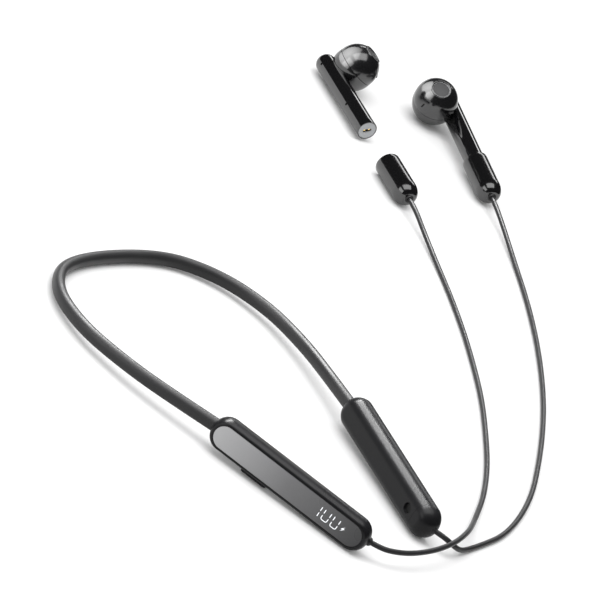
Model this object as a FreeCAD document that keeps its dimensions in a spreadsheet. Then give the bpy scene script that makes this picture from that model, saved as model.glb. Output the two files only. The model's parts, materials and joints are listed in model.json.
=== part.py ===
"""Neckband earphones: a flexible band with two pods, two cords with magnetic cups, and two
earbuds that dock in the cups.

The set lies on a table, +Z up, with the origin on the table at the middle of the neck opening's
mouth. The left pod is at -X, the pods point to -Y and the back of the band is at +Y. Millimetres.
"""
import FreeCAD, Part
import math
import os
import re
import Sketcher
from FreeCAD import Placement, Rotation, Vector

# Driving dimensions: name, value in millimetres or degrees.
VALUES = [
    # pods, in their own frames: X along the pod, +Y outward, Z up
    ("pod_length", 69.0), ("pod_height", 13.0), ("pod_depth", 9.0), ("pod_end_radius", 6.0),
    ("pod_outer_round", 1.9), ("pod_inner_round", 4.2), ("pod_wall", 1.2), ("pod_pitch", 2.0),
    ("end_cap_length", 7.5), ("fit_gap", 0.12),
    # band
    ("band_width", 4.6), ("band_height", 5.4), ("band_insert", 2.6), ("core_wire", 1.2),
    ("band_cable", 1.5), ("core_offset", 1.25), ("wire_tail", 4.0), ("bore_gap", 0.1),
    # display
    ("window_length", 64.8), ("window_height", 9.0), ("window_thick", 0.7), ("seat_play", 0.05),
    ("digit_height", 4.1), ("digit_width", 2.8), ("digit_pitch", 4.0), ("segment", 0.3),
    ("bolt_height", 2.3), ("bolt_width", 1.4), ("digits_from_tip", 15.0),
    ("display_board_length", 14.0), ("display_board_thick", 1.0),
    # electronics
    ("board_length", 34.0), ("board_height", 8.4), ("board_thick", 0.8),
    ("battery_length", 25.0), ("battery_height", 8.0), ("battery_thick", 3.0),
    ("battery_place", 10.0), ("board_lift", 1.0), ("board_place", 5.0), ("chip", 3.6),
    ("chip_thick", 1.0), ("screw_radius", 0.7), ("screw_head", 1.2), ("screw_head_thick", 0.5),
    ("screw_inset", 1.6), ("post_radius", 1.3), ("post_height", 2.4), ("motor_place", -25.7),
    ("motor_radius", 2.9), ("motor_thick", 2.1), ("motor_pad", 0.15), ("mic_thick", 0.9),
    # function button
    ("button_length", 11.0), ("button_width", 3.0), ("button_proud", 1.0), ("button_place", 12.0),
    ("button_shift", 0.7), ("button_gap", 0.2), ("button_flange", 0.6),
    ("flange_thick", 0.5), ("button_bevel", 0.5), ("switch_side", 3.0), ("switch_height", 1.5),
    # charging port and its cover
    ("port_length", 9.0), ("port_width", 3.3), ("port_depth", 5.4), ("port_wall", 0.3),
    ("tongue_thick", 0.7),
    ("port_place", 11.0), ("cover_length", 13.0), ("cover_width", 5.6), ("cover_thick", 0.8),
    ("cover_gap", 0.12), ("hinge_radius", 0.45), ("cover_plug", 0.5),
    ("dimple_radius", 2.3), ("dimple_depth", 0.6), ("dimple_from_tip", 11.5), ("mic_radius", 0.6),
    # cords and glands
    ("cord", 2.0), ("gland_radius", 1.7), ("gland_inside", 2.0), ("gland_flange", 2.1),
    ("gland_flange_thick", 0.8), ("gland_taper", 0.3), ("relief_proud", 0.5),
    # cups, in frames with the origin on the seat of the bud and Z along the bud
    ("cup_wall", 0.85), ("socket_depth", 6.5), ("socket_gap", 0.2), ("cup_body", 16.5),
    ("cup_bottom_round", 3.4), ("cup_rim_round", 0.25), ("cup_floor", 1.7),
    ("block_thick", 1.4), ("magnet_thick", 3.0),
    ("pin_radius", 0.4), ("pin_spacing", 2.0), ("pin_length", 3.4), ("seat_gap", 0.15),
    # buds, in frames with the origin on the stem's end, Z along the stem, +X to the head
    ("stem_radius", 4.15), ("stem_length", 45.0), ("stem_wall", 0.7), ("stem_top", 3.4),
    ("cap_thick", 1.2), ("cap_rim", 0.45), ("slot_length", 3.8), ("slot_width", 1.5),
    ("head_radius", 9.1), ("head_offset", 9.5), ("head_height", 39.5), ("head_wall", 0.8),
    ("nozzle_radius", 4.2), ("nozzle_base", 7.6), ("nozzle_start", 3.0), ("nozzle_reach", 10.2),
    ("nozzle_wall", 0.7),
    ("grille_thick", 0.5), ("grille_depth", 0.3), ("cover_split", 1.2),
    ("driver_radius", 6.5), ("driver_thick", 3.2), ("bud_battery_radius", 2.0),
    ("bud_battery_length", 21.0), ("bud_board_width", 4.0), ("bud_board_thick", 0.7),
    ("bud_board_length", 27.0), ("bud_magnet_radius", 2.7), ("mesh_radius", 0.6),
    ("mesh_from_top", 2.6), ("mesh_low", 15.2), ("mesh_turn", 38.0), ("passage", 1.5),
]

# How the set lies: each pod's band end (x, y), its toe-in, and the turn of its cord outlet.
BAND_ENDS = {"left": (-42.2, -1.2), "right": (42.1, 2.9)}
TOE_IN = {"left": 21.9, "right": 16.4}
OUTLET_TURN = {"left": -18.0, "right": 45.0}
OUTLET_BACK = {"left": 2.0, "right": 3.0}
OUTLET_REACH = {"left": 2.8, "right": 3.8}
# Outline of the band between its ends, left to right, seen from above.
BAND_LINE = [(-49.0, 16.5), (-54.4, 36.0), (-56.4, 58.5), (-48.1, 81.3), (-26.0, 96.3),
             (26.0, 96.3), (47.7, 82.2), (55.8, 61.0), (53.6, 39.0), (48.3, 20.5)]
# Cup frames: seat centre, heading of the bud from +Y towards +X, tilt up, roll of the head.
CUPS = {"left": ((211.0, 132.3, 5.2), 22.0, 0.0, 26.0),
        "right": ((266.0, 130.2, 6.05), 26.6, 2.8, 8.6)}
UNDOCKED = {"left": 28.5, "right": 0.0}
# Nozzle directions: turn away from the head's side of the stem, and drop towards the stem's end.
NOZZLE_TURN = {"left": 42.0, "right": 60.0}
NOZZLE_DROP = {"left": 6.0, "right": 21.0}
# Cord routes between the outlets and the cups, in millimetres.
CORD_POINTS = {
    "left": [(-8.6, -71.3, 6.3), (-0.5, -73.6, 6.6), (12.0, -74.4, 7.5), (25.0, -72.9, 8.6),
             (37.5, -68.6, 8.6), (49.5, -62.6, 5.6), (64.0, -54.6, 2.0), (82.0, -43.6, 1.0),
             (101.0, -28.4, 1.0), (119.0, -10.9, 1.0), (135.8, 6.6, 1.0), (150.7, 24.9, 1.0),
             (165.0, 43.9, 1.0), (178.3, 63.7, 1.0), (190.0, 83.0, 1.0), (198.0, 99.6, 2.8)],
    "right": [(30.6, -70.0, 4.6), (36.6, -70.6, 2.0), (44.5, -69.4, 1.0), (55.0, -67.8, 1.0),
              (70.0, -65.0, 1.0), (88.5, -57.6, 1.0), (110.0, -45.9, 1.0), (131.8, -30.2, 1.0),
              (152.1, -14.4, 1.0), (172.0, 2.8, 1.0), (190.6, 21.1, 1.0), (208.3, 40.4, 1.0),
              (224.8, 60.6, 1.0), (239.4, 80.6, 1.0), (250.2, 98.4, 3.0)],
}
LEAD_OUT = {"pod": 4.2, "cup": 6.0}    # straight stretch of cord at its ends
ARC_SHARE = 0.45   # share of the shorter run that each arc of a cord takes

S = dict(VALUES)
WORD = re.compile(r"[a-z][a-z_]+")
doc = FreeCAD.newDocument("NeckbandEarphones")
sheet = doc.addObject("Spreadsheet::Sheet", "Sheet")
for row, (alias, value) in enumerate(VALUES, start=1):
    sheet.set("A%d" % row, alias)
    sheet.set("B%d" % row, str(value))
    sheet.setAlias("B%d" % row, alias)
doc.recompute()
NODES = []


# ---------------------------------------------------------------- helpers
def formula(text):
    """The sheet expression for a formula written with the plain names of VALUES."""
    return WORD.sub(lambda found: "Sheet." + found.group(), str(text))


def number(text):
    """The value of such a formula now, which is where sketches and placements start."""
    filled = WORD.sub(lambda found: "(%r)" % S[found.group()], str(text))
    return FreeCAD.Units.Quantity(filled).Value


def node(obj, label, frame=None):
    """Label a finished sub-part and put it in the frame of its assembly."""
    obj.Label = label
    if frame is not None:
        obj.Placement = frame.multiply(obj.Placement)
    NODES.append(obj)
    return obj


def solid(kind, label, sizes, at=(0, 0, 0), turn=None):
    """A Part primitive whose sizes are formulas; at is given as formulas too."""
    obj = doc.addObject("Part::" + kind, label)
    for name, text in sizes.items():
        obj.setExpression(name, formula(text))
    spot = Vector(*[number(text) for text in at])
    obj.Placement = Placement(spot, turn or Rotation())
    return obj


def box(label, length, width, height, centre=(0, 0, 0), turn=None):
    """A box about its centre."""
    obj = solid("Box", label, {"Length": length, "Width": width, "Height": height})
    turn = turn or Rotation()
    half = Vector(number(length), number(width), number(height)) * 0.5
    spot = Vector(*[number(text) for text in centre])
    obj.Placement = Placement(spot - turn.multVec(half), turn)
    return obj


def rod(label, radius, height, at=(0, 0, 0), along=Vector(0, 0, 1)):
    return solid("Cylinder", label, {"Radius": radius, "Height": height}, at,
                 Rotation(Vector(0, 0, 1), along))


def cut(label, base, *tools):
    for count, tool in enumerate(tools):
        result = doc.addObject("Part::Cut", "%s_cut%d" % (label, count))
        result.Base = base
        result.Tool = tool
        base = result
    return base


def fuse(label, *pieces):
    result = doc.addObject("Part::MultiFuse", label + "_fuse")
    result.Shapes = list(pieces)
    return result


def group(label, *pieces):
    result = doc.addObject("Part::Compound", label + "_group")
    result.Links = list(pieces)
    return result


def common(label, one, two):
    result = doc.addObject("Part::Common", label + "_common")
    result.Base = one
    result.Tool = two
    return result


def outline(body, plane, points):
    """A closed sketch of straight lines through points given as pairs of formulas."""
    sketch = body.newObject("Sketcher::SketchObject", body.Name + "_sketch")
    support = [part for part in body.Origin.OriginFeatures if part.Role == plane][0]
    sketch.AttachmentSupport = [(support, "")]
    sketch.MapMode = "FlatFace"
    spots = [Vector(number(x), number(y), 0) for x, y in points]
    for index, spot in enumerate(spots):
        after = spots[(index + 1) % len(spots)]
        sketch.addGeometry(Part.LineSegment(spot, after), False)
    for index in range(len(spots)):
        after = (index + 1) % len(spots)
        sketch.addConstraint(Sketcher.Constraint("Coincident", index, 2, after, 1))
    for index, texts in enumerate(points):
        for kind, axis, text in zip(("DistanceX", "DistanceY"), (-2, -1), texts):
            if str(text) == "0":
                sketch.addConstraint(Sketcher.Constraint("PointOnObject", index, 1, axis))
            else:
                rule = Sketcher.Constraint(kind, -1, 1, index, 1, number(text))
                place = sketch.addConstraint(rule)
                sketch.setExpression("Constraints[%d]" % place, formula(text))
    return sketch


def turned(label, points, rounds=()):
    """A body of revolution about its Z axis from (radius, height) formulas.

    rounds holds (radius, height, fillet) formulas: the edge at that place is rounded.
    """
    body = doc.addObject("PartDesign::Body", label + "_body")
    sketch = outline(body, "XZ_Plane", points)
    spin = body.newObject("PartDesign::Revolution", label + "_spin")
    spin.Profile = sketch
    spin.ReferenceAxis = (sketch, ["V_Axis"])
    spin.Angle = 360
    doc.recompute()
    for count, (radius, height, size) in enumerate(rounds):
        def chosen(edge):
            point = edge.Vertexes[0].Point
            spread = math.hypot(point.x, point.y)
            flat = abs(edge.BoundBox.ZLength) < 1e-6
            return flat and abs(spread - number(radius)) < 1e-4 and \
                abs(point.z - number(height)) < 1e-4
        round_edges(body, "%s_round%d" % (label, count), chosen, size)
    return body


def round_edges(body, label, chosen, size):
    base = body.Tip
    names = ["Edge%d" % (i + 1) for i, edge in enumerate(base.Shape.Edges) if chosen(edge)]
    feature = body.newObject("PartDesign::Fillet", label)
    feature.Base = (base, names)
    feature.setExpression("Radius", formula(size))
    doc.recompute()
    return feature


def rounded_block(label, length, height, depth, corner, outer=None, inner=None, shift="0"):
    """A block along X with rounded ends, its depth along Y, and rounded front and back rims."""
    body = doc.addObject("PartDesign::Body", label + "_body")
    half_length = "(%s) / 2" % length
    half_height = "(%s) / 2" % height
    corners = [(half_length, half_height), ("-" + half_length, half_height),
               ("-" + half_length, "-" + half_height), (half_length, "-" + half_height)]
    sketch = outline(body, "XZ_Plane", corners)
    pad = body.newObject("PartDesign::Pad", label + "_pad")
    pad.Profile = sketch
    pad.Midplane = True
    pad.setExpression("Length", formula(depth))
    doc.recompute()
    round_edges(body, label + "_ends", lambda e: e.BoundBox.YLength > number(depth) / 2, corner)
    for side, size in ((1, outer), (-1, inner)):
        if size:
            place = side * number(depth) / 2

            def chosen(edge, place=place):
                middle = edge.BoundBox.Center.y
                return edge.BoundBox.YLength < 1e-6 and abs(middle - place) < 1e-6
            name = label + ("_front" if side > 0 else "_back")
            round_edges(body, name, chosen, size)
    body.Placement = Placement(Vector(0, number(shift), 0), Rotation())
    return body


# ---------------------------------------------------------------- routes
def arcs_and_runs(points):
    """One wire of straight runs joined by tangent arcs, and the arcs' radii."""
    edges, radii, start = [], [], points[0]
    for before, corner, after in zip(points, points[1:], points[2:]):
        back, ahead = before - corner, after - corner
        half_turn = (math.pi - back.getAngle(ahead)) / 2
        shorter = min(back.Length, ahead.Length)
        reach = ARC_SHARE * shorter
        radii.append(reach / math.tan(half_turn))
        back.normalize()
        ahead.normalize()
        first, last = corner + back * reach, corner + ahead * reach
        bisector = (back + ahead).normalize()
        middle_gap = radii[-1] * (1 / math.cos(half_turn) - 1)
        middle = corner + bisector * middle_gap
        edges.append(Part.LineSegment(start, first).toShape())
        edges.append(Part.Arc(first, middle, last).toShape())
        start = last
    edges.append(Part.LineSegment(start, points[-1]).toShape())
    return Part.Wire(edges), radii


def sweep(path, section):
    shell = Part.BRepOffsetAPI.MakePipeShell(path)
    shell.setBiNormalMode(band_normal)
    shell.add(section)
    shell.build()
    shell.makeSolid()
    return shell.shape()


def tube(path, radius, fixed=False):
    """A round tube along a wire."""
    start = path.Edges[0]
    tangent = start.tangentAt(start.FirstParameter)
    ring = Part.Wire(Part.Circle(start.firstVertex().Point, tangent, radius).toShape())
    if fixed:
        return sweep(path, ring)
    return path.makePipeShell([ring], True, False, 2)


def feature(label, shape):
    obj = doc.addObject("Part::Feature", label)
    obj.Shape = shape
    return obj


# ---------------------------------------------------------------- frames
def pod_frame(side):
    """+Y points outward; X runs to the band on the left pod and to the cord on the right."""
    toe = math.radians(TOE_IN[side])
    mirror = 1 if side == "left" else -1
    x, y = BAND_ENDS[side]
    half = S["pod_length"] / 2
    level = math.cos(math.radians(S["pod_pitch"]))
    slope = math.sin(math.radians(S["pod_pitch"]))
    rise = S["pod_height"] / 2 * level + (half - S["pod_end_radius"]) * slope
    centre = Vector(x + mirror * half * math.sin(toe), y - half * math.cos(toe), rise)
    heading = 90 + TOE_IN["left"] if side == "left" else -90 - TOE_IN["right"]
    pitch = -S["pod_pitch"] if side == "left" else S["pod_pitch"]
    return Placement(centre, Rotation(heading, pitch, 0))


def cup_frame(side):
    seat, heading, tilt, roll = CUPS[side]
    turn, lift, spin = (math.radians(angle) for angle in (heading, tilt, roll))
    axis = Vector(math.sin(turn) * math.cos(lift), math.cos(turn) * math.cos(lift),
                  math.sin(lift))
    level = Vector(math.cos(turn), -math.sin(turn), 0)
    if side == "right":
        level = level * -1
    upward = level.cross(axis) if level.cross(axis).z > 0 else axis.cross(level)
    across = level * math.cos(spin) + upward * math.sin(spin)
    return Placement(Vector(*seat), Rotation(across, axis.cross(across), axis, "ZXY"))


def bud_frame(side):
    lift = Vector(0, 0, S["seat_gap"] + UNDOCKED[side])
    return cup_frame(side).multiply(Placement(lift, Rotation()))


def cordward(side):
    """The sign of X, in a pod's frame, on the way to its cord."""
    return -1 if side == "left" else 1


def outlet_frame(side):
    """Where a cord leaves its pod: origin inside the tip, Z along the cord."""
    way = cordward(side)
    turn = math.radians(OUTLET_TURN[side])
    along = Vector(way * math.cos(turn), math.sin(turn), 0)
    spot = Vector(way * (S["pod_length"] / 2 - OUTLET_BACK[side]), 0, 0)
    local = Placement(spot, Rotation(Vector(0, 0, 1), along))
    return pod_frame(side).multiply(local)


# ---------------------------------------------------------------- band
def band_points():
    """The band's centre line, from inside the left pod to inside the right one."""
    ends = []
    for side in ("left", "right"):
        frame = pod_frame(side)
        way = -cordward(side)
        tip = frame.multVec(Vector(way * S["pod_length"] / 2, 0, 0))
        inside = frame.multVec(Vector(way * (S["pod_length"] / 2 - S["band_insert"]), 0, 0))
        ends.append((inside, tip))
    left, right = ends
    back = Vector(0, 96.3, S["band_height"] / 2)
    normal = (right[1] - left[1]).cross(back - left[1]).normalize()

    def drop(point):
        """Put a point of the plan on the band's plane."""
        gap = (point - back).dot(normal)
        return Vector(point.x, point.y, point.z - gap / normal.z)
    middle = [drop(Vector(x, y, 0)) for x, y in BAND_LINE]
    points = [drop(left[0])] + middle + [drop(right[0])]
    return points, normal


def make_band():
    path, radii = arcs_and_runs(BAND)
    tangent = (BAND[1] - BAND[0]).normalize()
    side = tangent.cross(band_normal)
    major, minor = S["band_height"] / 2, S["band_width"] / 2
    oval = Part.Ellipse(BAND[0] + band_normal * major, BAND[0] + side * minor, BAND[0])
    sleeve = sweep(path, Part.Wire(oval.toShape()))
    long_ends = [BAND[0] - tangent * S["wire_tail"]] + BAND[1:-1]
    last = (BAND[-1] - BAND[-2]).normalize()
    long_ends.append(BAND[-1] + last * S["wire_tail"])
    pieces = []
    for label, size, offset in (("band_core_wire", "core_wire", "core_offset"),
                                ("band_cable", "band_cable", "core_offset")):
        way = 1 if label == "band_core_wire" else -1
        shift = band_normal * (way * S[offset])
        line, unused = arcs_and_runs([point + shift for point in long_ends])
        pieces.append((label, tube(line, S[size] / 2, True)))
        sleeve = sleeve.cut(tube(line, S[size] / 2 + S["bore_gap"] / 2, True))
    node(feature("sleeve", sleeve), "band_sleeve")
    for label, shape in pieces:
        node(feature(label, shape), label)
    print("band: length %.1f, smallest arc %.1f" % (path.Length, min(radii)))


# ---------------------------------------------------------------- pods
def pod_half(side, part):
    """The outer or inner half of a pod's hollow body, in the pod's frame."""
    name = "%s_%s_half" % (side, part)
    form = rounded_block(name + "_form", "pod_length", "pod_height", "pod_depth",
                         "pod_end_radius", "pod_outer_round", "pod_inner_round")
    core = rounded_block(name + "_core", "pod_length - 2 * pod_wall",
                         "pod_height - 2 * pod_wall", "pod_depth - 2 * pod_wall",
                         "pod_end_radius - pod_wall", "pod_outer_round - pod_wall",
                         "pod_inner_round - pod_wall")
    way = 1 if part == "outer" else -1
    half = box(name + "_half", "pod_length + 10", "pod_depth", "pod_height + 10",
               (0, "%d * pod_depth / 2" % way, 0))
    return common(name, cut(name, form, core), half)


def band_hole(name, side):
    """The hole that the band's sleeve goes through, a little larger than the sleeve."""
    way = -cordward(side)
    start = BAND[0] if side == "left" else BAND[-1]
    after = BAND[1] if side == "left" else BAND[-2]
    tangent = (after - start).normalize()
    begin = start - tangent * 2.0
    gap = S["fit_gap"]
    major, minor = S["band_height"] / 2 + gap, S["band_width"] / 2 + gap
    oval = Part.Ellipse(begin + band_normal * major,
                        begin + tangent.cross(band_normal) * minor, begin)
    hole = Part.Face(Part.Wire(oval.toShape())).extrude(tangent * 12.0)
    hole.transformShape(pod_frame(side).inverse().toMatrix())
    return feature(name + "_hole", hole)


def gland_hole(name, side):
    local = pod_frame(side).inverse().multiply(outlet_frame(side))
    hole = rod(name + "_gland_hole", "gland_radius + 0.02", "gland_inside + 8", (0, 0, "-1.2"))
    hole.Placement = local.multiply(hole.Placement)
    return hole


def make_left_pod():
    frame = pod_frame("left")
    outer = cut("left_outer_shell", pod_half("left", "outer"), band_hole("left_outer", "left"),
                gland_hole("left_outer", "left"), window_seat(), button_hole("left_outer"))
    node(outer, "left_outer_shell", frame)
    inner = cut("left_inner_shell", pod_half("left", "inner"), band_hole("left_inner", "left"),
                gland_hole("left_inner", "left"), button_hole("left_inner"))
    node(with_posts("left", inner), "left_inner_shell", frame)
    # display window, its digits and the board behind them
    segments = digit_segments("window_cut")
    pane = rounded_block("window", "window_length", "window_height", "window_thick",
                         "window_height / 2 - 0.05",
                         shift="pod_depth / 2 - window_thick / 2")
    node(cut("window", pane, group("window_cut", *segments)), "display_window", frame)
    node(group("digits", *digit_segments("digits")), "display_digits", frame)
    behind = "pod_depth / 2 - window_thick - display_board_thick / 2"
    node(box("display_board", "display_board_length", "display_board_thick",
             "window_height - 1.6", ("-pod_length / 2 + digits_from_tip", behind, 0)),
         "display_board", frame)
    make_board("left", frame)
    make_button(frame)


def window_seat():
    """The pocket of the display window, with a smaller opening behind it for the board."""
    deep = "2 * window_thick"
    seat = rounded_block("window_seat", "window_length + 2 * seat_play",
                         "window_height + 2 * seat_play", deep, "window_height / 2",
                         shift="pod_depth / 2")
    behind = box("window_through", "display_board_length + 0.4", "2.4", "window_height - 1.2",
                 ("-pod_length / 2 + digits_from_tip", "pod_depth / 2 - pod_wall", 0))
    return group("window_seat", seat, behind)


def digit_segments(name):
    """The lit bars of 100 and a bolt, as they stand in the window."""
    bar, tall, wide = "segment", "digit_height / 2 - 1.5 * segment", "digit_width - segment"
    quarter = "digit_height / 4"
    start = "(-pod_length / 2 + digits_from_tip)"
    parts = []

    def put(count, length, height, x, z):
        centre = (start + " + " + x, "pod_depth / 2 - window_thick / 2", z)
        parts.append(box("%s_%d" % (name, count), length, "window_thick", height, centre))
    put(0, bar, tall, "1.25 * digit_pitch", quarter)
    put(1, bar, tall, "1.25 * digit_pitch", "-" + quarter)
    count = 2
    for place in ("0.55 * digit_pitch", "-0.45 * digit_pitch"):
        for way in ("+", "-"):
            x = "%s %s (%s) / 2" % (place, way, wide)
            for level in (quarter, "-" + quarter):
                put(count, bar, tall, x, level)
                count += 1
        put(count, "digit_width - 2 * segment", bar, place, "-digit_height / 2 + segment / 2")
        count += 1
    parts.append(bolt(name + "_bolt"))
    return parts


def bolt(name):
    """The charging bolt beside the digits: a slim zigzag, higher than it is wide."""
    body = doc.addObject("PartDesign::Body", name)
    zigzag = [("-0.4 * bolt_width", "0.5 * bolt_height"), ("0.5 * bolt_width", "-0.1 * bolt_height"),
              ("0.08 * bolt_width", "-0.1 * bolt_height"),
              ("0.4 * bolt_width", "-0.5 * bolt_height"),
              ("-0.5 * bolt_width", "0.1 * bolt_height"),
              ("-0.08 * bolt_width", "0.1 * bolt_height")]
    pad = body.newObject("PartDesign::Pad", name + "_pad")
    pad.Profile = outline(body, "XZ_Plane", zigzag)
    pad.Midplane = True
    pad.setExpression("Length", formula("window_thick"))
    x = number("-pod_length / 2 + digits_from_tip - 1.3 * digit_pitch")
    body.Placement = Placement(Vector(x, number("pod_depth / 2 - window_thick / 2"), 0), Rotation())
    return body


def post_places():
    """Where the board's two screws stand, along the pod and up it."""
    return [("board_place - board_length / 2 + screw_inset", "post_height"),
            ("board_place + board_length / 2 - screw_inset", "-post_height")]


def with_posts(side, shell):
    """The inner shell with its two screw posts, each with a hole for its screw."""
    posts, holes = [], []
    for count, (x, z) in enumerate(post_places()):
        name = "%s_post%d" % (side, count)
        posts.append(rod(name, "post_radius", "pod_wall / 2 + board_lift",
                         (x, "-pod_depth / 2 + pod_wall / 2", z), Vector(0, 1, 0)))
        holes.append(rod(name + "_hole", "screw_radius + 0.03", "board_lift + 1",
                         (x, "-pod_depth / 2 + pod_wall", z), Vector(0, 1, 0)))
    return cut(side + "_posts", fuse(side + "_posts", shell, *posts), *holes)


def make_board(side, frame):
    """Circuit board on the posts, its chips, its screws and the battery beside it."""
    face = "-pod_depth / 2 + pod_wall + board_lift"
    top = face + " + board_thick"
    name = {"left": "main_board", "right": "charging_board"}[side]
    plate = box(name + "_plate", "board_length", "board_thick", "board_height",
                ("board_place", face + " + board_thick / 2", 0))
    chips = [box("%s_chip%d" % (name, count), "chip", "chip_thick", "chip",
                 ("board_place - " + place, top + " + chip_thick / 2", 0))
             for count, place in enumerate(("7.2", "2.6"))]
    holes, screws = [], []
    for count, (x, z) in enumerate(post_places()):
        holes.append(rod("%s_hole%d" % (name, count), "screw_radius + 0.05", "board_thick + 1",
                         (x, face + " - 0.5", z), Vector(0, 1, 0)))
        head = rod("%s_head%d" % (name, count), "screw_head", "screw_head_thick",
                   (x, top, z), Vector(0, 1, 0))
        shank = rod("%s_shank%d" % (name, count), "screw_radius", "board_thick + board_lift",
                    (x, "-pod_depth / 2 + pod_wall", z), Vector(0, 1, 0))
        screws.append(fuse("%s_screw%d" % (name, count), head, shank))
    node(cut(name, fuse(name, plate, *chips), *holes), name, frame)
    node(group(name + "_screws", *screws), side + "_board_screws", frame)
    centre = top + " + chip_thick + 0.05 + battery_thick / 2"
    node(box(side + "_battery", "battery_length", "battery_thick", "battery_height",
             ("-battery_place", centre, 0)), side + "_battery", frame)


def button_hole(name):
    return box(name + "_button_hole", "button_length + 2 * button_gap",
               "button_width + 2 * button_gap", "pod_wall + 2",
               ("button_place", "button_shift", "-pod_height / 2 + pod_wall / 2"))


def make_button(frame):
    """The bar button under the left pod, held in by a flange, and its switch on the board."""
    bottom = "-pod_height / 2 - button_proud"
    seat = "-pod_height / 2 + pod_wall + 0.05"
    bar = doc.addObject("PartDesign::Body", "button_body")
    half = "button_length / 2"
    profile = [("button_place - %s + button_bevel" % half, bottom),
               ("button_place + %s - button_bevel" % half, bottom),
               ("button_place + " + half, bottom + " + button_bevel"),
               ("button_place + " + half, seat),
               ("button_place + %s + button_flange" % half, seat),
               ("button_place + %s + button_flange" % half, seat + " + flange_thick"),
               ("button_place - %s - button_flange" % half, seat + " + flange_thick"),
               ("button_place - %s - button_flange" % half, seat),
               ("button_place - " + half, seat),
               ("button_place - " + half, bottom + " + button_bevel")]
    sketch = outline(bar, "XZ_Plane", profile)
    pad = bar.newObject("PartDesign::Pad", "button_pad")
    pad.Profile = sketch
    pad.Midplane = True
    pad.setExpression("Length", formula("button_width"))
    bar.Placement = Placement(Vector(0, S["button_shift"], 0), Rotation())
    node(bar, "function_button", frame)
    face = "-pod_depth / 2 + pod_wall + board_lift + board_thick"
    low = "-board_height / 2"
    body = box("switch_body", "switch_side", "switch_side", "switch_height",
               ("button_place", face + " + switch_side / 2", low + " + switch_height / 2"))
    nub = box("switch_nub", "switch_side / 2", "switch_side / 2", "0.2",
              ("button_place", face + " + switch_side / 2", low))
    node(fuse("switch", body, nub), "button_switch", frame)


def make_right_pod():
    frame = pod_frame("right")
    start = "pod_length / 2 - end_cap_length"
    beyond = box("cap_side", "end_cap_length + 5", "pod_depth + 5", "pod_height + 5",
                 (start + " + (end_cap_length + 5) / 2", 0, 0))
    outer = cut("right_outer_shell", pod_half("right", "outer"),
                band_hole("right_outer", "right"), beyond, cover_seat(), port_hole())
    node(outer, "right_outer_shell", frame)
    inner = cut("right_inner_shell", pod_half("right", "inner"),
                band_hole("right_inner", "right"), beyond, dimple())
    node(with_posts("right", inner), "right_inner_shell", frame)
    whole = fuse("tip", pod_half("right_tip", "outer"), pod_half("right_tip", "inner"))
    tip = cut("tip", common("tip", whole, beyond), gland_hole("tip", "right"))
    node(tip, "right_end_cap", frame)
    make_board("right", frame)
    wall = "-pod_depth / 2 + pod_wall"
    spot = "pod_length / 2 - dimple_from_tip"
    node(box("pod_mic", "5 * mic_radius", "mic_thick", "4 * mic_radius",
             (spot, wall + " + mic_thick / 2", 0)), "pod_microphone", frame)
    seat = ("motor_place", wall + " + motor_pad", 0)
    node(rod("motor", "motor_radius", "motor_thick", seat, Vector(0, 1, 0)),
         "vibration_motor", frame)
    make_port(frame)
    make_cover(frame)


def dimple():
    """A round dish in the inner face with the microphone's hole in its middle."""
    spot = "pod_length / 2 - dimple_from_tip"
    ball = "(dimple_radius * dimple_radius + dimple_depth * dimple_depth) / (2 * dimple_depth)"
    dish = solid("Sphere", "dish", {"Radius": ball},
                 (spot, "-pod_depth / 2 + dimple_depth - " + ball, 0))
    hole = rod("mic_hole", "mic_radius", "pod_wall + 2", (spot, "-pod_depth / 2 - 1", 0),
               Vector(0, 1, 0))
    return fuse("dimple", dish, hole)


def port_hole():
    return box("port_hole", "port_length + 0.1", "pod_wall + 1", "port_width + 0.1",
               ("port_place", "pod_depth / 2 - pod_wall / 2", 0))


def cover_seat():
    """The shallow pocket of the port's cover, with a groove for its hinge barrel."""
    pocket = box("cover_pocket", "cover_length + 2 * cover_gap", "cover_thick + 0.05 + 1",
                 "cover_width + 2 * cover_gap",
                 ("port_place", "pod_depth / 2 - cover_thick - 0.05 + (cover_thick + 1.05) / 2", 0))
    hinge_x, hinge_y = hinge_place()
    groove = rod("hinge_groove", "hinge_radius + cover_gap", "cover_width + 2 * cover_gap",
                 (hinge_x, hinge_y, "-cover_width / 2 - cover_gap"))
    return fuse("cover_seat", pocket, groove)


def hinge_place():
    return "port_place - cover_length / 2 + hinge_radius", "pod_depth / 2 - hinge_radius"


def make_port(frame):
    """USB-C socket standing on the board, open to the outer face."""
    back = "-pod_depth / 2 + pod_wall + board_lift + board_thick"
    front = "pod_depth / 2 - pod_wall"
    deep = "(%s) - (%s)" % (front, back)
    middle = "((%s) + (%s)) / 2" % (front, back)
    shell = box("port_shell", "port_length", deep, "port_width", ("port_place", middle, 0))
    mouth = box("port_mouth", "port_length - 2 * port_wall", "port_depth - 1",
                "port_width - 2 * port_wall",
                ("port_place", front + " - (port_depth - 1) / 2 + 0.1", 0))
    tongue = box("port_tongue", "port_length - 2.4", "port_depth - 2", "tongue_thick",
                 ("port_place", front + " - (port_depth - 2) / 2 - 1", 0))
    node(fuse("port", cut("port", shell, mouth), tongue), "usb_c_port", frame)


def make_cover(frame):
    """Rubber flap over the socket: it turns on a barrel at its end towards the band."""
    hinge_x, hinge_y = hinge_place()
    plate = box("cover_plate", "cover_length - hinge_radius", "cover_thick", "cover_width",
                ("port_place + hinge_radius / 2", "pod_depth / 2 - cover_thick / 2", 0))
    barrel = rod("cover_barrel", "hinge_radius", "cover_width",
                 (hinge_x, hinge_y, "-cover_width / 2"))
    plug = box("cover_lip", "port_length - 1.4", "cover_plug + 0.1", "port_width - 1.3",
               ("port_place", "pod_depth / 2 - cover_thick - cover_plug / 2 + 0.05", 0))
    node(fuse("cover", plate, barrel, plug), "port_cover", frame)


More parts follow.
